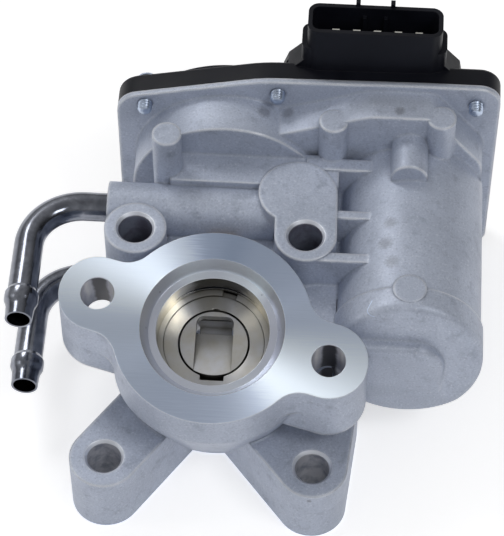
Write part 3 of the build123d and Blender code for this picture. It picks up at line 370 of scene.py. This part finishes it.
def castMaterial():
    # sand-grained casting with its faced and bored surfaces picked out by their place
    material, tree, shader, where = startMaterial("casting")
    look, faced, bored = castLook, machinedLook, boreLook
    cloud = noise(tree, where, *look["cloud"])
    blotch = noise(tree, where, *look["blotch"])
    grain = noise(tree, where, *look["grain"])
    pits = addNode(tree, "ShaderNodeTexVoronoi", {"Vector": where, "Scale": look["pitScale"]})
    corner = openness(tree, look["cornerReach"] * mm)
    shade = castShade(tree, cloud, blotch, grain, pits.outputs["Distance"], corner)
    # masks by place: flange face, bore and its mouth, ear holes, base holes and base face
    radius, height, turned, flat = axisFrame(tree, where, inletMiddle, inletLean)
    level = addNode(tree, "ShaderNodeSeparateXYZ", {0: where}).outputs[2]
    onFace = both(tree, near(tree, height, 0.0, faced["faceDepth"] * mm),
                  under(tree, radius, faced["faceRadius"] * mm))
    boreRadius = ramp(tree, spread(tree, height, bored["reachFrom"] * mm, 0), bored["reach"])
    inBore = both(tree, over(tree, height, bored["deepest"] * mm), under(tree, radius, boreRadius))
    inMouth = over(tree, height, bored["mouth"] * mm)
    inEarHole, earLight = earHoles(tree, where, height, blotch)
    walls, onRim = baseHoles(tree, where, level)
    onBase = under(tree, level, faced["baseDepth"] * mm)
    machined = either(tree, onFace, inEarHole, onRim, onBase)
    cut = either(tree, machined, inBore)
    # colours, each laid over the last
    rings = turningRings(tree, radius, faced["ringsPerMetre"])
    stroke = addNode(tree, "ShaderNodeMapping", {"Vector": turned, "Rotation": (0, 0, faced["strokeTurn"]),
                                                 "Scale": (1, faced["strokeStretch"], 1)}).outputs[0]
    brushed = noise(tree, stroke, *faced["stroke"])
    # painted shade on the base holes' walls, mottled by the blotches
    for pattern, tone in baseHoleLook["paintedWallShades"].items():
        mottled = mixColour(tree, ramp(tree, blotch, baseHoleLook["mottle"]), tone, look["darkShade"])
        shade = mixColour(tree, walls[pattern], shade, mottled)
    shade = mixColour(tree, machined, shade, facedShade(tree, flat, brushed))
    shade = mixColour(tree, onRim, shade, baseHoleLook["rimShade"])
    # painted reflections and shade in the ear holes
    shade = mixColour(tree, inEarHole, shade, paintedSheen(tree, earHoleLook["shade"], earLight, earHoleLook["paintedShade"],
                                                    earHoleLook["paintedHighlight"]))
    # painted shade, reflections and groove shadow in the bore
    shade = mixColour(tree, both(tree, inBore, maths(tree, "SUBTRACT", 1.0, onFace)), shade,
                      boredShade(tree, flat, height, inMouth, cloud, blotch))
    # roughness and metal
    rough = spread(tree, blotch, *noiseSpan, *look["roughness"])
    rough = mixValue(tree, machined, rough, spread(tree, brushed, *noiseSpan, *faced["roughness"]))
    rough = mixValue(tree, inBore, rough, bored["roughness"])
    metal = mixValue(tree, cut, look["metal"], faced["metal"])
    metal = mixValue(tree, either(tree, inEarHole, *walls.values()), metal, earHoleLook["metal"])
    metal = mixValue(tree, both(tree, inBore, inMouth), metal, bored["mouthMetal"])
    # rounded edges, with a painted highlight along them and a smoother finish there
    rounded = roundedEdges(tree, mixValue(tree, cut, look["edge"] * mm, faced["edge"] * mm), 6)
    flatNormal = addNode(tree, "ShaderNodeNewGeometry").outputs["Normal"]
    turning = addNode(tree, "ShaderNodeVectorMath", {0: rounded, 1: flatNormal},
                      operation="DOT_PRODUCT").outputs["Value"]
    edgeHighlight = both(tree, spread(tree, turning, *look["edgeHighlightTurn"]), spread(tree, corner, *look["edgeHighlightClear"]))
    edgeHighlight = both(tree, edgeHighlight, spread(tree, blotch, *look["edgeHighlightPatch"]))
    shade = mixColour(tree, edgeHighlight, shade, look["speckAndEdgeHighlightShade"])
    rough = mixValue(tree, edgeHighlight, rough, look["edgeHighlightRoughness"])
    for centre, size, ragged, depth in look["darkSpots"]:
        mark = spot(tree, where, centre, size, ragged, grain)
        shade = mixColour(tree, both(tree, mark, depth), shade, look["darkSpotShade"])
    # sand grain on the cast skin, and rings about the inlet where it is cut
    sand = bump(tree, grain, look["grainDepth"] * mm, rounded, maths(tree, "SUBTRACT", 1.0, cut))
    ringed = bump(tree, rings, faced["ringDepth"] * mm, sand, cut)
    setShader(tree, shader, Base_Color=shade, Metallic=metal, Roughness=rough, Normal=ringed,
              Anisotropic=both(tree, onFace, faced["aniso"]), Tangent=awayFromAxis(tree, flat, inletLean))
    return material


seatLook = {
    "shade": (0.58, 0.59, 0.62), "warmShade": (0.50, 0.48, 0.42), "speckShade": (0.25, 0.24, 0.22),
    # painted shade for the corners, then painted shade and painted highlight for the sleeve
    "paintedCornerShadeColour": (0.10, 0.09, 0.07), "paintedShade": (0.20, 0.19, 0.15), "paintedHighlight": (1.0, 0.98, 0.92),
    "warmPatch": [(0.40, 0.0), (0.70, 0.8)], "specks": [(0.60, 0.0), (0.78, 0.4)],
    "paintedCornerShade": [(0.30, 0.85), (0.85, 0.0)], "patch": (150, 4, 0.6), "speck": (1500, 4, 0.7),
    "roughness": (0.36, 0.50), "ringsPerMetre": 6500, "ringDepth": 0.003, "aniso": 0.7, "fanLean": 0.5,
    "cornerReach": 3, "edge": 0.2,
    "sleeveFrom": 9.62,  # the sleeve starts at this radius, and the flap lies inside it
    # painted highlight and shade round the sleeve, by direction round the inlet
    "sweep": [(-180, 0.58), (-140, 0.62), (-90, 0.45), (-40, 0.62), (0, 0.52), (20, 0.62), (40, 0.98),
              (58, 0.62), (78, 0.30), (105, 0.20), (122, 0.42), (138, 0.92), (160, 0.80), (180, 0.58)],
}


def turnedMaterial():
    # steel turned on the inlet axis: fine rings, a highlight that fans out from the axis, heat tint in patches
    # with painted shade in the corners and painted highlight and shade round the sleeve
    material, tree, shader, where = startMaterial("turnedSteel")
    look = seatLook
    radius, _, _, flat = axisFrame(tree, where, inletMiddle, inletLean)
    outward = awayFromAxis(tree, flat, inletLean)
    fan = addNode(tree, "ShaderNodeVectorMath", {0: tuple(inletAxis * look["fanLean"]), 1: outward},
                  operation="ADD").outputs[0]
    rings = turningRings(tree, radius, look["ringsPerMetre"])
    patches = noise(tree, where, *look["patch"])
    specks = noise(tree, where, *look["speck"])
    corner = openness(tree, look["cornerReach"] * mm)
    colour = mixColour(tree, ramp(tree, patches, look["warmPatch"]), look["shade"], look["warmShade"])
    colour = mixColour(tree, ramp(tree, specks, look["specks"]), colour, look["speckShade"])
    # painted shade in the corners
    colour = mixColour(tree, ramp(tree, corner, look["paintedCornerShade"]), colour, look["paintedCornerShadeColour"])
    onSleeve = over(tree, radius, look["sleeveFrom"] * mm)
    # painted highlight and shade round the sleeve alone
    light = mixValue(tree, onSleeve, 0.5, aroundAxis(tree, flat, patches, look["sweep"]))
    colour = paintedSheen(tree, colour, light, look["paintedShade"], look["paintedHighlight"])
    setShader(tree, shader, Base_Color=colour, Metallic=1.0, Tangent=fan,
              Roughness=spread(tree, rings, *lineSpan, *look["roughness"]),
              Anisotropic=both(tree, onSleeve, look["aniso"]),
              Normal=bump(tree, rings, look["ringDepth"] * mm, roundedEdges(tree, look["edge"] * mm)))
    return material


# colours, roughness, and how far the lines are squeezed along one axis
steelLooks = {
    "zincSteel": {"shade": (0.52, 0.60, 0.74), "worn": (0.36, 0.41, 0.50), "roughness": 0.30,
                  "squeeze": (1, 4, 1)},
    "bronze": {"shade": (0.55, 0.36, 0.18), "worn": (0.30, 0.19, 0.10), "roughness": 0.42,
               "squeeze": (1, 3, 1)},
    "tinnedBlade": {"shade": (0.80, 0.79, 0.74), "worn": (0.56, 0.53, 0.45), "roughness": 0.26,
                    "squeeze": (1, 1, 6)},
}
steelWear = {
    "line": (240, 5, 0.65), "lineDepth": 0.003, "patch": (160, 4, 0.6), "wornPatch": [(0.42, 0.0), (0.72, 0.7)],
    "smoothest": 0.8, "roughest": 1.35, "edge": 0.15,
}


def steelMaterial(name):
    # turned or drawn metal: fine rings or lines across one axis, and dull patches
    material, tree, shader, where = startMaterial(name)
    look, wear = steelLooks[name], steelWear
    lined = addNode(tree, "ShaderNodeMapping", {"Vector": where, "Scale": look["squeeze"]}).outputs[0]
    lines = noise(tree, lined, *wear["line"])
    patches = noise(tree, where, *wear["patch"])
    colour = mixColour(tree, ramp(tree, patches, wear["wornPatch"]), look["shade"], look["worn"])
    rough = spread(tree, lines, *lineSpan, look["roughness"] * wear["smoothest"],
                   look["roughness"] * wear["roughest"])
    setShader(tree, shader, Base_Color=colour, Metallic=1.0, Roughness=rough,
              Normal=bump(tree, lines, wear["lineDepth"] * mm, roundedEdges(tree, wear["edge"] * mm)))
    return material


plasticLooks = {
    "blackPlastic": {"shade": (0.004, 0.0045, 0.008), "paleShade": (0.010, 0.011, 0.018), "roughness": 0.46,
                     "grain": (3600, 3, 0.7), "grainDepth": 0.03, "edge": 0.3, "gloss": 0.22},
    "gearPlastic": {"shade": (0.70, 0.67, 0.58), "paleShade": (0.80, 0.78, 0.72), "roughness": 0.42,
                    "grain": (2600, 3, 0.7), "grainDepth": 0.012, "edge": 0.2, "gloss": 0.5},
    "sealRubber": {"shade": (0.012, 0.012, 0.012), "paleShade": (0.03, 0.03, 0.03), "roughness": 0.62,
                   "grain": (2400, 3, 0.7), "grainDepth": 0.03, "edge": 0.3, "gloss": 0.5},
    "ferrite": {"shade": (0.035, 0.035, 0.038), "paleShade": (0.09, 0.09, 0.10), "roughness": 0.5,
                "grain": (1500, 3, 0.7), "grainDepth": 0.03, "edge": 0.3, "gloss": 0.5},
    "carbon": {"shade": (0.02, 0.02, 0.022), "paleShade": (0.06, 0.06, 0.065), "roughness": 0.55,
               "grain": (1200, 3, 0.7), "grainDepth": 0.04, "edge": 0.3, "gloss": 0.5},
}
plasticWear = {
    "cloud": (90, 4, 0.6), "cloudPale": [(0.35, 0.0), (0.75, 0.6)], "scuff": (480, 6, 0.75, 1.2),
    "scuffPale": [(0.64, 0.0), (0.78, 0.5)], "smoother": 0.07, "rougher": 0.09,
}


def plasticMaterial(name):
    # moulded piece: fine spark-eroded grain, flow clouds, scuffs and soft edges
    material, tree, shader, where = startMaterial(name)
    look, wear = plasticLooks[name], plasticWear
    grain = noise(tree, where, *look["grain"])
    cloud = noise(tree, where, *wear["cloud"])
    scuff = noise(tree, where, *wear["scuff"])
    colour = mixColour(tree, ramp(tree, cloud, wear["cloudPale"]), look["shade"], look["paleShade"])
    colour = mixColour(tree, ramp(tree, scuff, wear["scuffPale"]), colour, look["paleShade"])
    rough = spread(tree, cloud, *noiseSpan, look["roughness"] - wear["smoother"],
                   look["roughness"] + wear["rougher"])
    setShader(tree, shader, Base_Color=colour, Roughness=rough, Specular_IOR_Level=look["gloss"],
              Normal=bump(tree, grain, look["grainDepth"] * mm, roundedEdges(tree, look["edge"] * mm)))
    return material


pipeLook = {
    "shade": (0.15, 0.16, 0.19), "paleShade": (0.32, 0.335, 0.38), "speckShade": (0.09, 0.09, 0.10),
    "smear": (130, 4, 0.6, 0.6), "smearPale": [(0.38, 0.0), (0.70, 1.0)], "speck": (1900, 3, 0.8),
    "specks": [(0.66, 0.0), (0.76, 0.5)], "speckDepth": 0.004, "roughness": (0.13, 0.24),
}


def pipeMaterial():
    # bright stainless tube, clouded by handling and specked by dust
    material, tree, shader, where = startMaterial("pipeSteel")
    look = pipeLook
    smear = noise(tree, where, *look["smear"])
    specks = noise(tree, where, *look["speck"])
    colour = mixColour(tree, ramp(tree, smear, look["smearPale"]), look["shade"], look["paleShade"])
    colour = mixColour(tree, ramp(tree, specks, look["specks"]), colour, look["speckShade"])
    setShader(tree, shader, Base_Color=colour, Metallic=1.0,
              Roughness=spread(tree, smear, *noiseSpan, *look["roughness"]),
              Normal=bump(tree, specks, look["speckDepth"] * mm))
    return material


copperLook = {
    "gapShade": (0.33, 0.12, 0.05), "wireShade": (0.72, 0.36, 0.20), "turnScale": 260, "turnDepth": 0.12,
    "roughness": (0.42, 0.26), "metal": 0.85,
}


def copperMaterial():
    # varnished turns of wire, wound along the slots
    material, tree, shader, where = startMaterial("copper")
    look = copperLook
    turns = addNode(tree, "ShaderNodeTexWave", {"Vector": where, "Scale": look["turnScale"], "Distortion": 2.0,
                                                "Detail": 2.0}, bands_direction="DIAGONAL").outputs["Fac"]
    colour = mixColour(tree, turns, look["gapShade"], look["wireShade"])
    setShader(tree, shader, Base_Color=colour, Metallic=look["metal"],
              Roughness=spread(tree, turns, 0, 1, *look["roughness"]),
              Normal=bump(tree, turns, look["turnDepth"] * mm))
    return material


boardLook = {
    "lacquer": (0.012, 0.11, 0.05), "trackShade": (0.05, 0.22, 0.10), "trackScale": 300, "trackGap": 0.03,
    "trackDepth": 0.03, "smear": (700, 4, 0.55), "roughness": (0.25, 0.4), "coat": 0.4,
}


def boardMaterial():
    # green lacquer over fine tracks
    material, tree, shader, where = startMaterial("board")
    look = boardLook
    tracks = addNode(tree, "ShaderNodeTexBrick", {"Vector": where, "Scale": look["trackScale"],
                                                  "Mortar Size": look["trackGap"]}).outputs["Fac"]
    colour = mixColour(tree, tracks, look["lacquer"], look["trackShade"])
    smear = noise(tree, where, *look["smear"])
    setShader(tree, shader, Base_Color=colour, Roughness=spread(tree, smear, *noiseSpan, *look["roughness"]),
              Coat_Weight=look["coat"], Normal=bump(tree, tracks, look["trackDepth"] * mm))
    return material


materials = {
    "casting": castMaterial(),
    "machined_steel": turnedMaterial(),
    "pipe_steel": pipeMaterial(),
    "black_plastic": plasticMaterial("blackPlastic"),
    "gear_plastic": plasticMaterial("gearPlastic"),
    "zinc_steel": steelMaterial("zincSteel"),
    "bronze": steelMaterial("bronze"),
    "rubber": plasticMaterial("sealRubber"),
    "magnet": plasticMaterial("ferrite"),
    "copper": copperMaterial(),
    "tin": steelMaterial("tinnedBlade"),
    "carbon": plasticMaterial("carbon"),
    "board": boardMaterial(),
}
slotOf = {piece["node"]: piece["material_slot"] for piece in frame["record"]["subparts"]}
for name, node in frame["nodes"].items():
    node.data.materials.clear()
    node.data.materials.append(materials[slotOf[name]])
print("materials set:", len(materials))


def surface(name, points, slot, body):
    # grid of points, rows along the piece and columns round it, closed round, its ends fanned to a point
    rows, columns = points.shape[:2]
    index = np.arange(rows * columns).reshape(rows, columns)
    following = np.roll(index, -1, axis=1)
    quads = np.stack([index[:-1], following[:-1], following[1:], index[1:]], axis=-1).reshape(-1, 4)
    ends = np.stack([points[0].mean(0), points[-1].mean(0)])
    first, last = rows * columns, rows * columns + 1
    firstFan = np.stack([np.full(columns, first), following[0], index[0]], -1)
    lastFan = np.stack([np.full(columns, last), index[-1], following[-1]], -1)
    vertices = np.concatenate([points.reshape(-1, 3), ends])
    mesh = bpy.data.meshes.new(name)
    mesh.from_pydata(vertices.tolist(), [], quads.tolist() + firstFan.tolist() + lastFan.tolist())
    mesh.update()
    mesh.shade_smooth()
    piece = bpy.data.objects.new(name, mesh)
    bpy.context.scene.collection.objects.link(piece)
    mesh.materials.append(materials[slot])
    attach(piece, body)
    return piece


def joinPieces(pieces, name):
    # several meshes into one object
    bpy.ops.object.select_all(action="DESELECT")
    for piece in pieces:
        piece.select_set(True)
    bpy.context.view_layer.objects.active = pieces[0]
    bpy.ops.object.join()
    pieces[0].name = name
    pieces[0].data.name = name
    return pieces[0]


coverScrew = {
    "radius": 2.0, "core": 1.62, "pitch": 0.9, "tip": 0.8, "tipSlope": 0.9,
    "headRadius": 2.9, "headTall": 1.0, "headChamfer": 0.3, "headDome": 0.5,
    "recess": 1.6, "recessDeep": 0.6, "recessTaper": 0.1, "recessLobes": 6, "lobeDepth": 0.12,
    "columns": 40, "rowsPerTurn": 12, "apart": 8.0,
}


def solidEnds(node, apart):
    # low and high corner of each loose solid of a node that lies along Y, told by its distance in X and Z
    mesh = frame["nodes"][node].data
    points = np.empty(len(mesh.vertices) * 3)
    mesh.vertices.foreach_get("co", points)
    left = points.reshape(-1, 3)
    found = []
    while len(left):
        close = np.hypot(*(left - left[0])[:, [0, 2]].T) < apart
        found.append((left[close].min(0), left[close].max(0)))
        left = left[~close]
    return found


def screwSurface(x, z, tipY, headY, look):
    # radius along the screw: pointed tip, thread as a triangle wave along the helix, head, lobed recess
    length, pitch, core = headY - tipY, look["pitch"] * mm, look["core"] * mm
    along = np.linspace(0, 1, int(length / pitch * look["rowsPerTurn"]))[:, None] * length
    angle = np.linspace(0, 2 * np.pi, look["columns"], endpoint=False)[None, :]
    wave = (along / pitch + angle / (2 * np.pi)) % 1.0
    depth = 1 - np.abs(2 * wave - 1)
    radius = core + (look["radius"] * mm - core) * depth
    radius = np.minimum(radius, core * look["tip"] + along * look["tipSlope"])
    rings = [(radius * np.cos(angle), along + 0 * angle + tipY, radius * np.sin(angle))]
    wide, tall, recess = look["headRadius"], look["headTall"], look["recess"]
    bottom = tall - look["recessDeep"]
    head = [(look["radius"], 0.0), (wide - look["headChamfer"], 0.0), (wide, look["headChamfer"]),
            (wide, tall - look["headDome"]), (wide - look["headDome"], tall)]
    hollow = [(recess, tall), (recess - look["recessTaper"], bottom), (look["recessTaper"], bottom)]
    lobed = 1 + look["lobeDepth"] * np.cos(look["recessLobes"] * angle)
    for profile, outline in ((head, 1.0), (hollow, lobed)):
        for r, y in profile:
            size = r * mm * outline
            rings.append((size * np.cos(angle), headY + y * mm + 0 * angle, size * np.sin(angle)))
    grid = np.concatenate([np.stack(ring, -1) for ring in rings])
    return grid[:, ::-1] + np.array([x, 0, z])


def buildCoverScrews(look):
    low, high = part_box("cover_screws")
    seat = high.y - look["headTall"] * mm
    pieces = []
    for start, end in solidEnds("cover_screws", look["apart"] * mm):
        x, z = (start[0] + end[0]) / 2, (start[2] + end[2]) / 2
        pieces.append(surface("screw", screwSurface(x, z, low.y, seat, look), "zinc_steel", "valve_body"))
    screws = joinPieces(pieces, "threadedScrews")
    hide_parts("cover_screws")


buildCoverScrews(coverScrew)
print("screws built")

smoothing = {"weld": 0.002, "sharpOver": 24}  # millimetres and degrees


def smoothGroup(look):
    # shade smooth, with edges over an angle kept sharp
    tree = bpy.data.node_groups.new("smoothByAngle", "GeometryNodeTree")
    tree.interface.new_socket("Geometry", in_out="INPUT", socket_type="NodeSocketGeometry")
    tree.interface.new_socket("Geometry", in_out="OUTPUT", socket_type="NodeSocketGeometry")
    inward, outward = tree.nodes.new("NodeGroupInput"), tree.nodes.new("NodeGroupOutput")
    angle = addNode(tree, "GeometryNodeInputMeshEdgeAngle").outputs["Unsigned Angle"]
    flat = addNode(tree, "FunctionNodeCompare", {0: angle, 1: math.radians(look["sharpOver"])},
                   operation="LESS_EQUAL").outputs[0]
    faces = addNode(tree, "GeometryNodeSetShadeSmooth", {"Geometry": inward.outputs[0], "Shade Smooth": True},
                    domain="FACE")
    edges = addNode(tree, "GeometryNodeSetShadeSmooth", {"Geometry": faces.outputs[0], "Shade Smooth": flat},
                    domain="EDGE")
    tree.links.new(edges.outputs[0], outward.inputs[0])
    return tree


def smoothNodes(look):
    # curved CAD faces shade smooth, and their sharp edges stay
    group = smoothGroup(look)
    for node in frame["nodes"].values():
        weld = node.modifiers.new("weld", "WELD")
        weld.merge_threshold = look["weld"] * mm
        smooth = node.modifiers.new("smooth", "NODES")
        smooth.node_group = group


smoothNodes(smoothing)
print("edges smoothed")

studio = {
    # camera place in millimetres, direction in degrees
    "cameraPlace": (33.8, -390.9, 595.8), "azimuth": 3.5, "elevation": 53.5, "lens": 171.3, "sensor": 36,
    "clipStart": 0.05,
    # place and size of each soft box in metres, and its power in watts, all facing the part
    "lampTarget": (0.02, 0.02, 0.03),
    "lamps": [
        ("leftRear", (-0.34, 0.40, 0.62), (0.26, 0.20), 1.1),
        ("frontRight", (0.42, -0.28, 0.72), (0.26, 0.20), 1.3),
        ("leftSide", (-0.65, -0.10, 0.35), (0.10, 0.50), 0.3),
        ("cameraFill", (0.10, -0.52, 0.66), (0.34, 0.34), 0.6),
    ],
    "unmirrored": ["cameraFill"],
    # light of the room by height, how it falls off to the right, and the height where metal sees the backdrop
    "room": 0.50, "roomByHeight": [(0.0, 0.6), (0.5, 0.30), (0.62, 0.5), (0.78, 1.0), (0.90, 0.95), (1.0, 0.7)],
    "dimRight": (0.25, 0.80, 1.0, 0.10), "backdrop": (0.02, 0.22),
    "floor": (0.80, 0.80, 0.81), "floorReach": 3.0, "floorLevel": -0.3,
    "floorRoughness": 0.9, "floorGloss": 0.1, "floorGlow": 0.55,
}


def buildCamera(look):
    # camera on its line of sight, turned so that up stays up
    turn, rise = math.radians(look["azimuth"]), math.radians(look["elevation"])
    back = Vector((math.sin(turn) * math.cos(rise), -math.cos(turn) * math.cos(rise), math.sin(rise)))
    right = Vector((math.cos(turn), math.sin(turn), 0))
    facing = Matrix((right, back.cross(right), back)).transposed().to_4x4()
    data = bpy.data.cameras.new("camera")
    data.lens, data.sensor_width, data.clip_start = look["lens"], look["sensor"], look["clipStart"]
    camera = bpy.data.objects.new("camera", data)
    camera.matrix_world = Matrix.Translation(Vector(look["cameraPlace"]) * mm) @ facing
    bpy.context.scene.collection.objects.link(camera)
    bpy.context.scene.camera = camera


def buildLamps(look):
    target = Vector(look["lampTarget"])
    for name, place, size, power in look["lamps"]:
        data = bpy.data.lights.new(name, "AREA")
        data.shape, data.size, data.size_y, data.energy = "RECTANGLE", *size, power
        lamp = bpy.data.objects.new(name, data)
        lamp.location = place
        lamp.rotation_euler = (Vector(place) - target).to_track_quat("Z", "Y").to_euler()
        lamp.visible_glossy = name not in look["unmirrored"]
        bpy.context.scene.collection.objects.link(lamp)


def pathMask(tree, mirrored):
    # 1 where the camera looks straight at the background, and as much as mirrored where metal shows it
    path = addNode(tree, "ShaderNodeLightPath").outputs
    return either(tree, path["Is Camera Ray"], path["Is Transmission Ray"],
                  both(tree, path["Is Glossy Ray"], mirrored))


def buildWorld(look):
    world = bpy.data.worlds.new("studio")
    world.use_nodes = True
    bpy.context.scene.world = world
    tree = world.node_tree
    ambient = tree.nodes["Background"]
    # the room is dim at the level of the table and on the right, and brightest above
    direction = addNode(tree, "ShaderNodeTexCoord").outputs["Generated"]
    toRight, _, upward = addNode(tree, "ShaderNodeSeparateXYZ", {0: direction}).outputs
    glow = ramp(tree, spread(tree, upward, -1, 1), look["roomByHeight"])
    glow = both(tree, glow, spread(tree, toRight, *look["dimRight"]))
    # metal shows the white backdrop low down, and the dim room over it
    backdrop = spread(tree, upward, *look["backdrop"], 1.0, 0.0)
    level = mixValue(tree, pathMask(tree, backdrop), both(tree, glow, look["room"]), 1.0)
    tree.links.new(level, ambient.inputs["Strength"])
    ambient.inputs["Color"].default_value = (1, 1, 1, 1)


def buildFloor(look):
    mesh = bpy.data.meshes.new("floor")
    reach, level = look["floorReach"], look["floorLevel"] * mm
    corners = [(-reach, -reach, level), (reach, -reach, level), (reach, reach, level), (-reach, reach, level)]
    mesh.from_pydata(corners, [], [(0, 1, 2, 3)])
    floor = bpy.data.objects.new("floor", mesh)
    bpy.context.scene.collection.objects.link(floor)
    material, tree, shader, _ = startMaterial("floor")
    glow = both(tree, pathMask(tree, 1.0), look["floorGlow"])
    setShader(tree, shader, Base_Color=look["floor"], Roughness=look["floorRoughness"],
              Specular_IOR_Level=look["floorGloss"], Emission_Color=(1.0, 1.0, 1.0), Emission_Strength=glow)
    mesh.materials.append(material)


buildCamera(studio)
buildLamps(studio)
buildWorld(studio)
buildFloor(studio)
bpy.context.scene.view_settings.view_transform = "Standard"
print("studio built")
